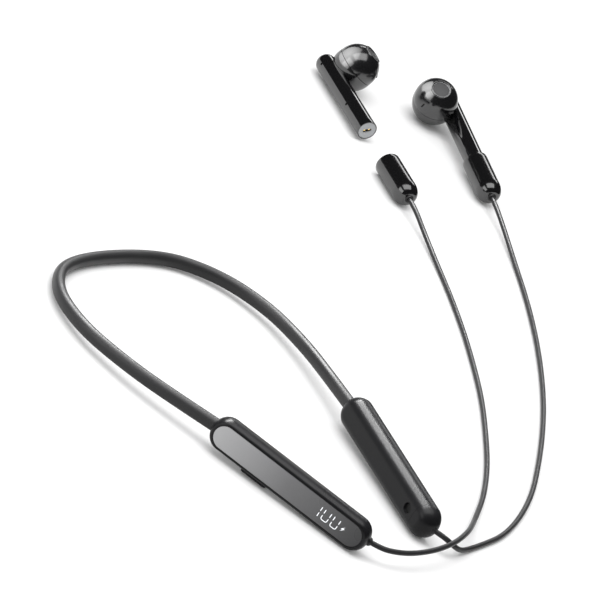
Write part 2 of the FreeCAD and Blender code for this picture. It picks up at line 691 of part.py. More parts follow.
def make_glands():
    for side in ("left", "right"):
        reach = "%s" % OUTLET_REACH[side]
        neck = "-gland_inside + gland_flange_thick"
        profile = [("0", "-gland_inside"), ("gland_flange", "-gland_inside"),
                   ("gland_flange", neck), ("gland_radius", neck),
                   ("gland_radius", reach + " - 2 * gland_taper"),
                   ("gland_radius - gland_taper", reach), ("0", reach)]
        node(turned(side + "_gland", profile), side + "_cord_gland", outlet_frame(side))


# ---------------------------------------------------------------- cups
def make_cup(side):
    frame = cup_frame(side)
    bore, neck = "stem_radius + socket_gap", "gland_radius + 0.02"
    outer, low, ledge = bore + " + cup_wall", "-cup_body", "-cup_body + cup_floor"
    profile = [(bore, "socket_depth"), (outer, "socket_depth"), (outer, low), (neck, low),
               (neck, ledge), ("gland_flange + 0.5", ledge),
               (bore, ledge + " + cup_bottom_round")]
    shell = turned(side + "_cup", profile, [(outer, low, "cup_bottom_round"),
                                            (outer, "socket_depth", "cup_rim_round")])
    node(shell, side + "_cup_shell", frame)
    pins, holes = [], []
    for way in ("", "-"):
        spot = way + "pin_spacing / 2"
        pins.append(rod("%s_pin%s" % (side, way), "pin_radius", "pin_length",
                        (spot, 0, "0.35 - pin_length")))
        holes.append(rod("%s_pin_hole%s" % (side, way), "pin_radius + 0.02", "block_thick + 2",
                         (spot, 0, "-block_thick - 1")))
    block = rod(side + "_block", bore + " - 0.02", "block_thick", (0, 0, "-block_thick"))
    node(cut(side + "_block", block, *holes), side + "_contact_block", frame)
    node(group(side + "_pins", *pins), side + "_contact_pins", frame)
    under = "-block_thick - magnet_thick"
    ring = rod(side + "_ring", bore + " - 0.1", "magnet_thick", (0, 0, under))
    eye = rod(side + "_eye", "pin_spacing", "magnet_thick + 2", (0, 0, under + " - 1"))
    node(cut(side + "_ring", ring, eye), side + "_cup_magnet", frame)
    tip, head = low + " - relief_proud", ledge + " + 0.02"
    relief = [("0", tip), ("gland_radius - gland_taper", tip), ("gland_radius", low),
              ("gland_radius", head), ("gland_flange + 0.2", head),
              ("gland_flange + 0.2", head + " + gland_flange_thick"),
              ("0", head + " + gland_flange_thick")]
    node(turned(side + "_relief", relief), side + "_cup_relief", frame)


# ---------------------------------------------------------------- buds
def nozzle_axis(side):
    hand = 1 if side == "right" else -1
    turn, drop = math.radians(NOZZLE_TURN[side]), math.radians(NOZZLE_DROP[side])
    return Vector(math.cos(turn) * math.cos(drop), hand * math.sin(turn) * math.cos(drop),
                  -math.sin(drop))


def make_bud(side):
    frame = bud_frame(side)
    make_stem(side, frame)
    make_head(side, frame)


def make_stem(side, frame):
    """Stem tube with its end cap, contacts, magnet, battery, board and microphone meshes."""
    bore = "stem_radius - stem_wall"
    top = "stem_length + stem_top"
    profile = [("stem_radius - cap_rim", "0"), ("stem_radius", "0"), ("stem_radius", top),
               ("0", top), ("0", "stem_length + 1"), (bore, "stem_length + 1"),
               (bore, "cap_thick"), ("stem_radius - cap_rim", "cap_thick")]
    shell = turned(side + "_stem", profile, [("stem_radius", top, "stem_top")])
    hand = 1 if side == "right" else -1
    turn = math.radians(180 - hand * S["mesh_turn"])
    outward = Vector(math.cos(turn), math.sin(turn), 0)
    holes, meshes = [], []
    for count, height in enumerate(("stem_length - mesh_from_top", "mesh_low")):
        name = "%s_mesh%d" % (side, count)
        hole = rod(name + "_hole", "mesh_radius + 0.02", "stem_radius + 1", (0, 0, height), outward)
        holes.append(hole)
        mesh = rod(name, "mesh_radius", "stem_wall - 0.3", (0, 0, height), outward)
        mesh.Placement.Base = mesh.Placement.Base + outward * (S["stem_radius"] - S["stem_wall"])
        meshes.append(mesh)
    passage = rod(side + "_passage", "passage", "stem_radius + 1", (0, 0, "head_height"),
                  Vector(1, 0, 0))
    node(cut(side + "_stem", shell, passage, *holes), side + "_stem_shell", frame)
    node(group(side + "_meshes", *meshes), side + "_microphone_meshes", frame)
    cap = rod(side + "_cap", "stem_radius - cap_rim - 0.01", "cap_thick - 0.01")
    slot = box(side + "_slot", "slot_length", "slot_width", "3 * cap_thick")
    node(cut(side + "_cap", cap, slot), side + "_stem_cap", frame)
    pads = [rod("%s_pad%s" % (side, way), "pin_radius + 0.05", "1.4",
                (way + "pin_spacing / 2", 0, "0.6")) for way in ("", "-")]
    node(group(side + "_pads", *pads), side + "_bud_contacts", frame)
    node(rod(side + "_magnet", "bud_magnet_radius", "magnet_thick", (0, 0, "2")),
         side + "_bud_magnet", frame)
    node(rod(side + "_cell", "bud_battery_radius", "bud_battery_length",
             ("-1.25", 0, "3 + magnet_thick")), side + "_bud_battery", frame)
    node(box(side + "_strip", "bud_board_thick", "bud_board_width", "bud_board_length",
             ("2 - bud_board_thick / 2 + 0.2", 0, "3 + magnet_thick + bud_board_length / 2")),
         side + "_bud_board", frame)


def make_head(side, frame):
    """The round head: a shell against the stem, a front cover with the nozzle, and the driver."""
    centre = ("head_offset", 0, "head_height")
    axis = nozzle_axis(side)
    turn = Rotation(Vector(0, 0, 1), axis)
    middle = Vector(S["head_offset"], 0, S["head_height"])

    def along(obj, reach):
        obj.Placement = Placement(middle + axis * number(reach), turn)
        return obj
    ball = solid("Sphere", side + "_ball", {"Radius": "head_radius"}, centre)
    snout = along(solid("Cone", side + "_snout", {"Radius1": "nozzle_base",
                                                  "Radius2": "nozzle_radius",
                                                  "Height": "nozzle_reach - nozzle_start"}),
                  "nozzle_start")
    room = solid("Sphere", side + "_room", {"Radius": "head_radius - head_wall"}, centre)
    mouth = along(rod(side + "_mouth", "nozzle_radius - nozzle_wall", "nozzle_reach"), "1")
    stem = rod(side + "_stem_space", "stem_radius", "2 * stem_length")
    form = cut(side + "_head", fuse(side + "_head", ball, snout), room, mouth, stem)
    front = along(box(side + "_front", "40", "40", "40"), "cover_split")
    front.Placement = front.Placement.multiply(Placement(Vector(-20, -20, 0), Rotation()))
    node(cut(side + "_head_back", form, front), side + "_head_shell", frame)
    node(common(side + "_head_front", form, front), side + "_front_cover", frame)
    grille = along(rod(side + "_grille", "nozzle_radius - nozzle_wall - 0.01", "grille_thick"),
                   "nozzle_reach - grille_thick - grille_depth")
    node(grille, side + "_nozzle_grille", frame)
    driver = along(rod(side + "_driver", "driver_radius", "driver_thick"), "cover_split - 0.2")
    node(driver, side + "_driver", frame)


# ---------------------------------------------------------------- cords
def cord_route(side):
    outlet, cup = outlet_frame(side), cup_frame(side)
    face = OUTLET_REACH[side]
    start = outlet.multVec(Vector(0, 0, face))
    after = outlet.multVec(Vector(0, 0, face + LEAD_OUT["pod"]))
    bottom = -S["cup_body"] - S["relief_proud"]
    before = cup.multVec(Vector(0, 0, bottom - LEAD_OUT["cup"]))
    end = cup.multVec(Vector(0, 0, bottom))
    middle = [Vector(*point) for point in CORD_POINTS[side]]
    return [start, after] + middle + [before, end]


def make_cords():
    for side in ("left", "right"):
        route = cord_route(side)
        path, radii = arcs_and_runs(route)
        shape = tube(path, S["cord"] / 2)
        wanted = math.pi * S["cord"] ** 2 / 4 * path.Length
        runs = [(b - a).Length for a, b in zip(route, route[1:])]
        sizes = (side, path.Length, shape.Volume, wanted)
        print("%s cord: length %.1f, volume %.1f of %.1f" % sizes)
        print("  radii", " ".join("%.1f" % radius for radius in radii))
        print("  runs", " ".join("%.1f" % run for run in runs))
        print("  points", [tuple(round(value, 2) for value in point) for point in route])
        assert abs(shape.Volume / wanted - 1) < 0.02, "the tube is not its section times its length"
        node(feature(side + "_cord_tube", shape), side + "_cord")


# ---------------------------------------------------------------- build and write
BAND, band_normal = band_points()
make_band()
make_left_pod()
make_right_pod()
make_glands()
for side in ("left", "right"):
    make_cup(side)
    make_bud(side)
make_cords()
doc.recompute()

for obj in doc.Objects:
    broken = [state for state in obj.State if state in ("Invalid", "Error")]
    assert not broken, "%s is %s" % (obj.Label, broken)
os.makedirs("parts", exist_ok=True)
for obj in NODES:
    shape = obj.Shape
    assert not shape.isNull() and shape.isValid() and shape.Volume > 0, obj.Label
    shape.exportStep(os.path.join("parts", obj.Label + ".step"))
for side in ("left", "right"):
    frames = (("pod", pod_frame(side)), ("cup", cup_frame(side)), ("bud", bud_frame(side)))
    for name, frame in frames:
        base, turn = frame.Base, frame.Rotation
        axes = [turn.multVec(Vector(*unit)) for unit in ((1, 0, 0), (0, 1, 0), (0, 0, 1))]
        print(side, name, [round(v, 3) for v in base], [[round(v, 5) for v in a] for a in axes])
print("%d nodes" % len(NODES))
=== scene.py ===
"""Looks of the neckband earphones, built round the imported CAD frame. Metres, +Z up.

The set lies on a floor: band at the back, two pods, and two cords that run to the earbuds' cups.
"""
import json
import math

import bmesh
import bpy
from mathutils import Matrix, Vector

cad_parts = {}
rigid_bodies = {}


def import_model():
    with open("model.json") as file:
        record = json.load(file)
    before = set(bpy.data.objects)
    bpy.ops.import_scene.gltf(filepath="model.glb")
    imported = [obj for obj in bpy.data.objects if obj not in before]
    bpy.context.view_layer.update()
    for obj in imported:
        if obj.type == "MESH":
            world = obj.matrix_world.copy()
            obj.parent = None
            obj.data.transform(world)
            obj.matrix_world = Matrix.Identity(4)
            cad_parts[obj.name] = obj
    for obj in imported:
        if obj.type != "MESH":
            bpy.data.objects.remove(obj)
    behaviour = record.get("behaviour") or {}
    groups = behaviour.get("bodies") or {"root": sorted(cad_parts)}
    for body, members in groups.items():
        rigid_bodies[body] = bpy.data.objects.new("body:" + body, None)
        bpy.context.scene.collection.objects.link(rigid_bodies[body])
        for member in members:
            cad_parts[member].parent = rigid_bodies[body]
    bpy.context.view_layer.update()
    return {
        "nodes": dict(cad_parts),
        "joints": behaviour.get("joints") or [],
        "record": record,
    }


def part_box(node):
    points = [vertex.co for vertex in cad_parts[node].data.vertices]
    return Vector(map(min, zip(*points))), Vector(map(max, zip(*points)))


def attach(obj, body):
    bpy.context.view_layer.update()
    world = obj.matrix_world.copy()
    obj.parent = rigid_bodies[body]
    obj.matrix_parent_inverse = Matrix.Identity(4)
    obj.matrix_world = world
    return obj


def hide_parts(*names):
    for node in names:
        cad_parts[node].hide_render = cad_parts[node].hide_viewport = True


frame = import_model()

MM = 0.001

# ---------------------------------------------------------------- sizes, in millimetres
POD_LENGTH, POD_HEIGHT, POD_DEPTH = 69.0, 13.0, 9.0
POD_END_RADIUS = 6.0
POD_FACE_ROUND = (1.9, 3.8)     # outer rim: inset from the side, depth
POD_BACK_ROUND = (4.2, 5.2)     # inner rim
RIGHT_FACE_SHIFT = 8.0          # the right face mount stands this far back along the pod
END_CAP, END_CAP_SEAM = 7.5, 0.08
POD_MIC_FROM_TIP = 11.5
WINDOW_LENGTH, WINDOW_HEIGHT = 64.8, 9.0
WINDOW_GAP, WINDOW_SEAT, WINDOW_EDGE = 0.12, 0.25, 0.12
DIGITS_FROM_TIP, DIGIT_HEIGHT, DIGIT_WIDTH = 15.0, 4.1, 2.5
DIGIT_STROKE, DIGIT_SPLIT, DIGIT_CORNER = 0.3, 0.42, 0.6
ONE_AT, NOUGHTS_AT = -5.0, (-3.45, 0.55)
BUTTON_LENGTH, BUTTON_WIDTH, BUTTON_CORNER, BUTTON_PROUD = 11.0, 3.0, 1.2, 1.0
BUTTON_PLACE = (12.0, 0.7, 0.0)        # along the left pod, and out of its middle plane
STEM_RADIUS, STEM_LENGTH, STEM_TOP = 4.15, 45.0, 3.4
STEM_CAP, STEM_WALL = 1.2, 0.45
CAP_SLOT = (1.9, 0.75)                 # half length and half width
MESH_RADIUS, MESH_TURN = 0.6, 38.0     # microphone holes of the stems
MESH_HEIGHTS = (STEM_LENGTH - 2.6, 15.2)
STEM_VENT_HEIGHT, STEM_VENT_TURN = 29.6, 10.0
STEM_VENT_HALF = (0.46, 1.35, 3.1)     # depth, width and height, each halved
HEAD_RADIUS, NOZZLE_RADIUS, NOZZLE_REACH = 9.1, 4.2, 10.2
HEAD_SEAM, NOZZLE_LIP, NECK_HEIGHT = 1.2, 0.3, 39.5
HEAD_VENT = (1.3, 0.25)                # half length and half width
VENT_FACING, VENT_ALONG = (0.806, -0.056, -0.589), (-0.364, 0.915, 0.172)  # on the right bud
CUP_RADIUS, CUP_BODY, CUP_DOME, SOCKET_DEPTH = 5.2, 16.5, 5.6, 6.5
SOCKET_GAP, CORD_HOLE = 0.2, 1.72
CONTACT_BLOCK = 1.4
BAND_WIDTH, BAND_HEIGHT, BAND_IN_POD = 4.6, 5.4, 2.6
CORD_DIAMETER = 2.0
HAND = {"left": -1, "right": 1}        # the buds mirror each other

# Routes of the cords, from the pods to the cups, in metres.
CORDS = {
    "left": [(-0.01542, -0.06549, 0.00626), (-0.01273, -0.06871, 0.00612),
             (-0.0086, -0.0713, 0.0063), (-0.0005, -0.0736, 0.0066), (0.012, -0.0744, 0.0075),
             (0.025, -0.0729, 0.0086), (0.0375, -0.0686, 0.0086), (0.0495, -0.0626, 0.0056),
             (0.064, -0.0546, 0.002), (0.082, -0.0436, 0.001), (0.101, -0.0284, 0.001),
             (0.119, -0.0109, 0.001), (0.1358, 0.0066, 0.001), (0.1507, 0.0249, 0.001),
             (0.165, 0.0439, 0.001), (0.1783, 0.0637, 0.001), (0.19, 0.083, 0.001),
             (0.198, 0.0996, 0.0028), (0.20238, 0.11097, 0.0052), (0.20463, 0.11654, 0.0052)],
    "right": [(0.02529, -0.06373, 0.0063), (0.0273, -0.06742, 0.00619),
              (0.0306, -0.07, 0.0046), (0.0366, -0.0706, 0.002), (0.0445, -0.0694, 0.001),
              (0.055, -0.0678, 0.001), (0.07, -0.065, 0.001), (0.0885, -0.0576, 0.001),
              (0.11, -0.0459, 0.001), (0.1318, -0.0302, 0.001), (0.1521, -0.0144, 0.001),
              (0.172, 0.0028, 0.001), (0.1906, 0.0211, 0.001), (0.2083, 0.0404, 0.001),
              (0.2248, 0.0606, 0.001), (0.2394, 0.0806, 0.001), (0.2502, 0.0984, 0.003),
              (0.25571, 0.10966, 0.00493), (0.2584, 0.11502, 0.00522)],
}
# Plan of the band's centre line between the pods, in metres.
BAND_LINE = [(-0.049, 0.0165), (-0.0544, 0.036), (-0.0564, 0.0585), (-0.0481, 0.0813),
             (-0.026, 0.0963), (0.026, 0.0963), (0.0477, 0.0822), (0.0558, 0.061),
             (0.0536, 0.039), (0.0483, 0.0205)]

# ---------------------------------------------------------------- camera
TARGET = Vector((0.0885, 0.0692, 0.0))
AZIMUTH, ELEVATION, ROLL = -60.98, 24.32, 32.67
DISTANCE, LENS = 2.6, 416.8


def add_camera():
    data = bpy.data.cameras.new("camera")
    data.sensor_width = 36.0
    data.lens = LENS
    data.clip_end = 20.0
    camera = bpy.data.objects.new("camera", data)
    bpy.context.scene.collection.objects.link(camera)
    azimuth, elevation = math.radians(AZIMUTH), math.radians(ELEVATION)
    back = Vector((math.sin(azimuth) * math.cos(elevation),
                   -math.cos(azimuth) * math.cos(elevation), math.sin(elevation)))
    camera.location = TARGET + back * DISTANCE
    aim = (-back).to_track_quat("-Z", "Y").to_matrix()
    roll = Matrix.Rotation(math.radians(ROLL), 3, "Z")
    camera.rotation_euler = (aim @ roll).to_euler()
    bpy.context.scene.camera = camera


# ---------------------------------------------------------------- places read from the frame
def joint_axis(name):
    found = [joint for joint in frame["joints"] if joint["name"] == name][0]
    return Vector(found["axis"]).normalized()


def mount(name):
    found = [entry for entry in frame["record"]["mounts"] if entry["name"] == name][0]
    return Vector(found["pos_m"]), Vector(found["axis"]).normalized()


def middle(node):
    low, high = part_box(node)
    return (low + high) / 2


def basis(origin, x, z):
    """The matrix of a frame at origin, with its X nearest x and its Z along z."""
    z = z.normalized()
    x = (x - z * x.dot(z)).normalized()
    y = z.cross(x)
    turn = Matrix((x, y, z)).transposed().to_4x4()
    turn.translation = origin
    return turn


def pod_basis(side):
    face, outward = mount(side + "_pod_face")
    upright = joint_axis("function_button_press" if side == "left" else "port_cover_hinge")
    along = outward.cross(upright)
    origin = face - outward * (POD_DEPTH / 2 * MM)
    if side == "right":
        origin = origin + along * (RIGHT_FACE_SHIFT * MM)
    return basis(origin, along, upright)


def bud_basis(side):
    """Origin at the stem's end, Z up the stem, X towards the head."""
    axis = joint_axis(side + "_bud_slide")
    origin = middle(side + "_stem_cap") - axis * (STEM_CAP / 2 * MM)
    return basis(origin, head_centre(side) - origin, axis)


def head_centre(side):
    tip, direction = mount(side + "_ear")
    return tip - direction * (NOZZLE_REACH * MM)


def nozzle_basis(side):
    """Origin at the head's centre, Z along the nozzle."""
    direction = mount(side + "_ear")[1]
    return basis(head_centre(side), joint_axis(side + "_bud_slide"), direction)


def cup_basis(side):
    """Origin at the bud's seat, Z towards the bud."""
    axis = joint_axis(side + "_bud_slide")
    origin = middle(side + "_contact_block") + axis * (CONTACT_BLOCK / 2 * MM)
    return basis(origin, head_centre(side) - origin, axis)


# ---------------------------------------------------------------- mesh helpers
def finish_mesh(mesh, name, place, surface, body, nodes):
    bmesh.ops.recalc_face_normals(mesh, faces=mesh.faces)
    data = bpy.data.meshes.new(name)
    mesh.to_mesh(data)
    mesh.free()
    data.transform(place @ Matrix.Scale(MM, 4))
    data.polygons.foreach_set("use_smooth", [True] * len(data.polygons))
    data.set_sharp_from_angle(angle=math.radians(40))
    data.materials.append(surface)
    piece = bpy.data.objects.new(name, data)
    bpy.context.scene.collection.objects.link(piece)
    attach(piece, body)
    if nodes:
        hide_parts(*nodes)
    return piece


def skin(mesh, rings, capped=True):
    """Join rings of points, all with the same number of points, into one surface."""
    rows = [[mesh.verts.new(point) for point in ring] for ring in rings]
    count = len(rows[0])
    for row, after in zip(rows, rows[1:]):
        for i in range(count):
            j = (i + 1) % count
            mesh.faces.new((row[i], row[j], after[j], after[i]))
    if capped:
        mesh.faces.new(list(reversed(rows[0])))
        mesh.faces.new(rows[-1])


def circle(radius, height, count=72):
    return [Vector((radius * math.cos(2 * math.pi * i / count),
                    radius * math.sin(2 * math.pi * i / count), height)) for i in range(count)]


def lathe(profile, count=72):
    """A surface turned about Z from (radius, height) pairs; a radius of 0 ends in a point."""
    mesh = bmesh.new()
    rows = []
    for radius, height in profile:
        if radius == 0:
            rows.append([mesh.verts.new((0, 0, height))])
        else:
            rows.append([mesh.verts.new(point) for point in circle(radius, height, count)])
    for row, after in zip(rows, rows[1:]):
        for i in range(count):
            j = (i + 1) % count
            corners = [row[i % len(row)], row[j % len(row)], after[j % len(after)],
                       after[i % len(after)]]
            unique = list(dict.fromkeys(corners))
            if len(unique) > 2:
                mesh.faces.new(unique)
    if len(rows[0]) > 1:
        mesh.faces.new(rows[0])
    if len(rows[-1]) > 1:
        mesh.faces.new(rows[-1])
    return mesh


def arc(centre, radii, first, last, steps):
    """Points (radius, height) of an elliptical arc, angles in degrees from the +radius side."""
    points = []
    for i in range(steps + 1):
        angle = math.radians(first + (last - first) * i / steps)
        points.append((centre[0] + radii[0] * math.cos(angle),
                       centre[1] + radii[1] * math.sin(angle)))
    return points


def rounded_outline(half_length, half_height, corner, y, corner_steps=14, side_steps=36):
    """A rounded rectangle in the XZ plane at y, always with the same number of points."""
    points = []
    for sign_x, sign_z, start in ((1, 1, 0), (-1, 1, 90), (-1, -1, 180), (1, -1, 270)):
        centre_x = sign_x * (half_length - corner)
        centre_z = sign_z * (half_height - corner)
        for i in range(corner_steps + 1):
            angle = math.radians(start + 90 * i / corner_steps)
            points.append(Vector((centre_x + corner * math.cos(angle), y,
                                  centre_z + corner * math.sin(angle))))
    straight = []
    count = len(points)
    for i, point in enumerate(points):
        straight.append(point)
        after = points[(i + 1) % count]
        if (i + 1) % (corner_steps + 1) == 0:
            along_length = (i + 1) // (corner_steps + 1) % 2 == 1
            steps = side_steps if along_length else 4
            for k in range(1, steps):
                straight.append(point.lerp(after, k / steps))
    return straight


def carve(piece, cutters):
    """Subtract cutters, pairs of a bmesh in millimetres and its place, from a piece."""
    for mesh, place in cutters:
        bmesh.ops.recalc_face_normals(mesh, faces=mesh.faces)
        data = bpy.data.meshes.new("cutter")
        mesh.to_mesh(data)
        mesh.free()
        data.transform(place @ Matrix.Scale(MM, 4))
        tool = bpy.data.objects.new("cutter", data)
        bpy.context.scene.collection.objects.link(tool)
        modifier = piece.modifiers.new("carve", "BOOLEAN")
        modifier.operation = "DIFFERENCE"
        modifier.solver = "EXACT"
        modifier.object = tool
        bpy.context.view_layer.update()
        depsgraph = bpy.context.evaluated_depsgraph_get()
        result = bpy.data.meshes.new_from_object(piece.evaluated_get(depsgraph))
        piece.modifiers.clear()
        piece.data = result
        bpy.data.objects.remove(tool)
    piece.data.polygons.foreach_set("use_smooth", [True] * len(piece.data.polygons))
    piece.data.set_sharp_from_angle(angle=math.radians(35))


def route_line(name, points):
    """Points along the smooth line of a NURBS route, read from a curve with no bevel."""
    curve = smooth_curve(name, points)
    mesh = bpy.data.meshes.new_from_object(curve)
    line = [vertex.co.copy() for vertex in mesh.vertices]
    bpy.data.objects.remove(curve)
    return line


def smooth_curve(name, points):
    data = bpy.data.curves.new(name, "CURVE")
    data.dimensions = "3D"
    data.resolution_u = 10
    spline = data.splines.new("NURBS")
    spline.points.add(len(points) - 1)
    for place, point in zip(spline.points, points):
        place.co = (*point, 1.0)
    spline.order_u = 3
    spline.use_endpoint_u = True
    curve = bpy.data.objects.new(name, data)
    bpy.context.scene.collection.objects.link(curve)
    bpy.context.view_layer.update()
    return curve


# ---------------------------------------------------------------- materials
def new_material(name, colour):
    """A material of one base colour, and its shader."""
    material = bpy.data.materials.new(name)
    material.use_nodes = True
    shader = material.node_tree.nodes["Principled BSDF"]
    shader.inputs["Base Color"].default_value = (*colour, 1.0)
    return material, shader


def object_noise(material, scale, detail):
    """Noise in object space; scale counts grains per metre."""
    nodes, links = material.node_tree.nodes, material.node_tree.links
    place = nodes.new("ShaderNodeTexCoord")
    noise = nodes.new("ShaderNodeTexNoise")
    noise.inputs["Scale"].default_value = scale
    noise.inputs["Detail"].default_value = detail
    links.new(place.outputs["Object"], noise.inputs["Vector"])
    return noise.outputs["Fac"]


def add_grain(material, shader, scale, distance):
    """A fine bump from noise, which is returned."""
    nodes, links = material.node_tree.nodes, material.node_tree.links
    noise = object_noise(material, scale, 4.0)
    bump = nodes.new("ShaderNodeBump")
    bump.inputs["Strength"].default_value = 0.4
    bump.inputs["Distance"].default_value = distance
    links.new(noise, bump.inputs["Height"])
    links.new(bump.outputs["Normal"], shader.inputs["Normal"])
    return noise


def vary(material, source, target, low, high):
    """Link a noise to a socket, with the noise's middle range spread between two values."""
    nodes, links = material.node_tree.nodes, material.node_tree.links
    spread = nodes.new("ShaderNodeMapRange")
    spread.inputs["From Min"].default_value = 0.35
    spread.inputs["From Max"].default_value = 0.65
    spread.inputs["To Min"].default_value = low
    spread.inputs["To Max"].default_value = high
    links.new(source, spread.inputs["Value"])
    links.new(spread.outputs["Result"], target)


def plastic(name, colour, rough, grain=1500.0, depth=0.00002, ior=1.5, spread=0.05):
    """Moulded plastic or rubber: a fine grain, and a roughness that wanders a little."""
    material, shader = new_material(name, colour)
    shader.inputs["IOR"].default_value = ior
    add_grain(material, shader, grain, depth)
    cloud = object_noise(material, 60.0, 2.0)
    vary(material, cloud, shader.inputs["Roughness"], rough - spread, rough + spread)
    return material


def metal(name, colour, rough):
    material, shader = new_material(name, colour)
    shader.inputs["Metallic"].default_value = 1.0
    noise = add_grain(material, shader, 900.0, 0.00001)
    vary(material, noise, shader.inputs["Roughness"], rough * 0.8, rough * 1.3)
    return material


def glow(name, colour, strength):
    material, shader = new_material(name, colour)
    shader.inputs["Emission Color"].default_value = (*colour, 1.0)
    shader.inputs["Emission Strength"].default_value = strength
    return material


def pane_with_painted_reflection(name):
    """Smoked window with a painted reflection: its colour is lighter at the band's end and darker
    at the cord's, along the pod.
    """
    material = plastic(name, (0.05, 0.05, 0.052), 0.3, 1500.0, 0.000002, 1.4, 0.03)
    nodes, links = material.node_tree.nodes, material.node_tree.links
    place = pod_basis("left")
    along = place.col[0].xyz
    centre = place.translation.dot(along)
    coordinates = nodes.new("ShaderNodeTexCoord")
    share = nodes.new("ShaderNodeVectorMath")
    share.operation = "DOT_PRODUCT"
    share.inputs[1].default_value = along
    ramp = nodes.new("ShaderNodeMapRange")
    ramp.inputs["From Min"].default_value = centre - WINDOW_LENGTH / 2 * MM
    ramp.inputs["From Max"].default_value = centre + WINDOW_LENGTH / 2 * MM
    # Painted reflection: the pane's base colour runs from dark at the cord's end, through mid
    # grey, to light at the band's end.
    painted_reflection_ramp = nodes.new("ShaderNodeValToRGB")
    painted_reflection_ramp.color_ramp.elements[0].color = (0.028, 0.028, 0.029, 1)
    painted_reflection_ramp.color_ramp.elements[1].color = (0.34, 0.34, 0.345, 1)
    halfway = painted_reflection_ramp.color_ramp.elements.new(0.5)
    halfway.color = (0.125, 0.125, 0.128, 1)
    links.new(coordinates.outputs["Object"], share.inputs[0])
    links.new(share.outputs["Value"], ramp.inputs["Value"])
    links.new(ramp.outputs["Result"], painted_reflection_ramp.inputs["Fac"])
    links.new(painted_reflection_ramp.outputs["Color"], nodes["Principled BSDF"].inputs["Base Color"])
    return material


# Plastics: name, colour, roughness, grains per metre, grain height in metres, IOR, spread.
SURFACES = {
    "pod": plastic("pod_satin", (0.005, 0.005, 0.0055), 0.3, 2600.0, 0.000001, 1.27, 0.03),
    "rubber": plastic("band_rubber", (0.012, 0.012, 0.0125), 0.42, 2200.0, 0.000006, 1.37),
    "cord": plastic("cord_rubber", (0.01, 0.01, 0.0105), 0.38, 2600.0, 0.000004, 1.34),
    "bud": plastic("bud_gloss", (0.003, 0.003, 0.0035), 0.08, 2000.0, 0.0000005, 1.95, 0.02),
    "head": plastic("head_gloss", (0.004, 0.004, 0.0045), 0.15, 2000.0, 0.000001, 1.85, 0.03),
    "cup": plastic("cup_gloss", (0.003, 0.003, 0.0035), 0.16, 2000.0, 0.0000005, 1.85, 0.02),
    "button": plastic("button_satin", (0.004, 0.004, 0.0045), 0.35, 2600.0, 0.000003, 1.35),
    # The window's colour carries a painted reflection along the pod.
    "window": pane_with_painted_reflection("window_smoke_painted_reflection"),
    "digits": glow("digit_light", (0.8, 0.82, 0.85), 0.35),
    "grey": plastic("cap_grey", (0.35, 0.36, 0.37), 0.35, 1800.0, 0.000006),
    "dark": plastic("dark_part", (0.004, 0.004, 0.004), 0.5, 1500.0, 0.000005, 1.3),
    "board": plastic("board_green", (0.01, 0.09, 0.04), 0.35),
    "foil": metal("battery_foil", (0.6, 0.6, 0.62), 0.35),
    "steel": metal("steel", (0.55, 0.55, 0.57), 0.3),
    "gold": metal("gold_plate", (0.85, 0.62, 0.25), 0.2),
    "nickel": metal("nickel_plate", (0.7, 0.7, 0.7), 0.15),
    "grille": plastic("grille_cloth", (0.06, 0.06, 0.062), 0.5, 5200.0, 0.00006),
    "rim": metal("grille_rim", (0.45, 0.45, 0.46), 0.3),
}


# ---------------------------------------------------------------- pods
def pod_rings():
    """Outlines from the flat of the inner face, round the side, to the edge of the outer face."""
    steps = 14
    widest = POD_DEPTH / 2 - POD_FACE_ROUND[1]
    rings = []
    for way, (inset, depth), parts in ((-1, POD_BACK_ROUND, range(steps, -1, -1)),
                                       (1, POD_FACE_ROUND, range(1, steps))):
        for i in parts:
            angle = math.radians(90 * i / steps)
            shrink = inset * (1 - math.cos(angle))
            rings.append(rounded_outline(POD_LENGTH / 2 - shrink, POD_HEIGHT / 2 - shrink,
                                         POD_END_RADIUS - shrink,
                                         widest + way * depth * math.sin(angle)))
    return rings


def window_ring(grow, y):
    """The window's outline, grown all round, at y."""
    half_height = WINDOW_HEIGHT / 2 + grow
    return rounded_outline(WINDOW_LENGTH / 2 + grow, half_height, half_height - 0.05, y)


def make_left_pod():
    """The left pod: its shell with a seat for the window, the window, the digits, the button."""
    place = pod_basis("left")
    face = POD_DEPTH / 2
    seat = face - WINDOW_SEAT
    shell = bmesh.new()
    skin(shell, pod_rings()[:-2] + [window_ring(WINDOW_GAP + 0.1, face - 0.06),
                                    window_ring(WINDOW_GAP, seat), window_ring(-1.0, seat)])
    finish_mesh(shell, "left_pod_shell", place, SURFACES["pod"], "neckband",
                ["left_outer_shell", "left_inner_shell"])
    pane = bmesh.new()
    skin(pane, [window_ring(0.0, seat), window_ring(0.0, face - WINDOW_EDGE),
                window_ring(-WINDOW_EDGE, face), window_ring(-1.0, face)])
    finish_mesh(pane, "window_pane", place, SURFACES["window"], "neckband",
                ["display_window"])
    make_digits(place, face)
    make_button(place)


def ribbon(mesh, points, width, low, high):
    """A flat stroke along points in the XZ plane, between two depths."""
    left, right = [], []
    for i, point in enumerate(points):
        before = points[max(i - 1, 0)]
        after = points[min(i + 1, len(points) - 1)]
        run = (after - before).normalized()
        across = Vector((-run.y, run.x)) * (width / 2)
        left.append(point + across)
        right.append(point - across)
    base, top = [[[mesh.verts.new((p.x, y, p.y)) for p in edge] for edge in (left, right)]
                 for y in (low, high)]
    for i in range(len(points) - 1):
        mesh.faces.new((top[0][i], top[0][i + 1], top[1][i + 1], top[1][i]))
        mesh.faces.new((base[0][i], base[1][i], base[1][i + 1], base[0][i + 1]))
        mesh.faces.new((base[0][i], base[0][i + 1], top[0][i + 1], top[0][i]))
        mesh.faces.new((base[1][i + 1], base[1][i], top[1][i], top[1][i + 1]))
    for i in (0, -1):
        mesh.faces.new((base[0][i], top[0][i], top[1][i], base[1][i]))


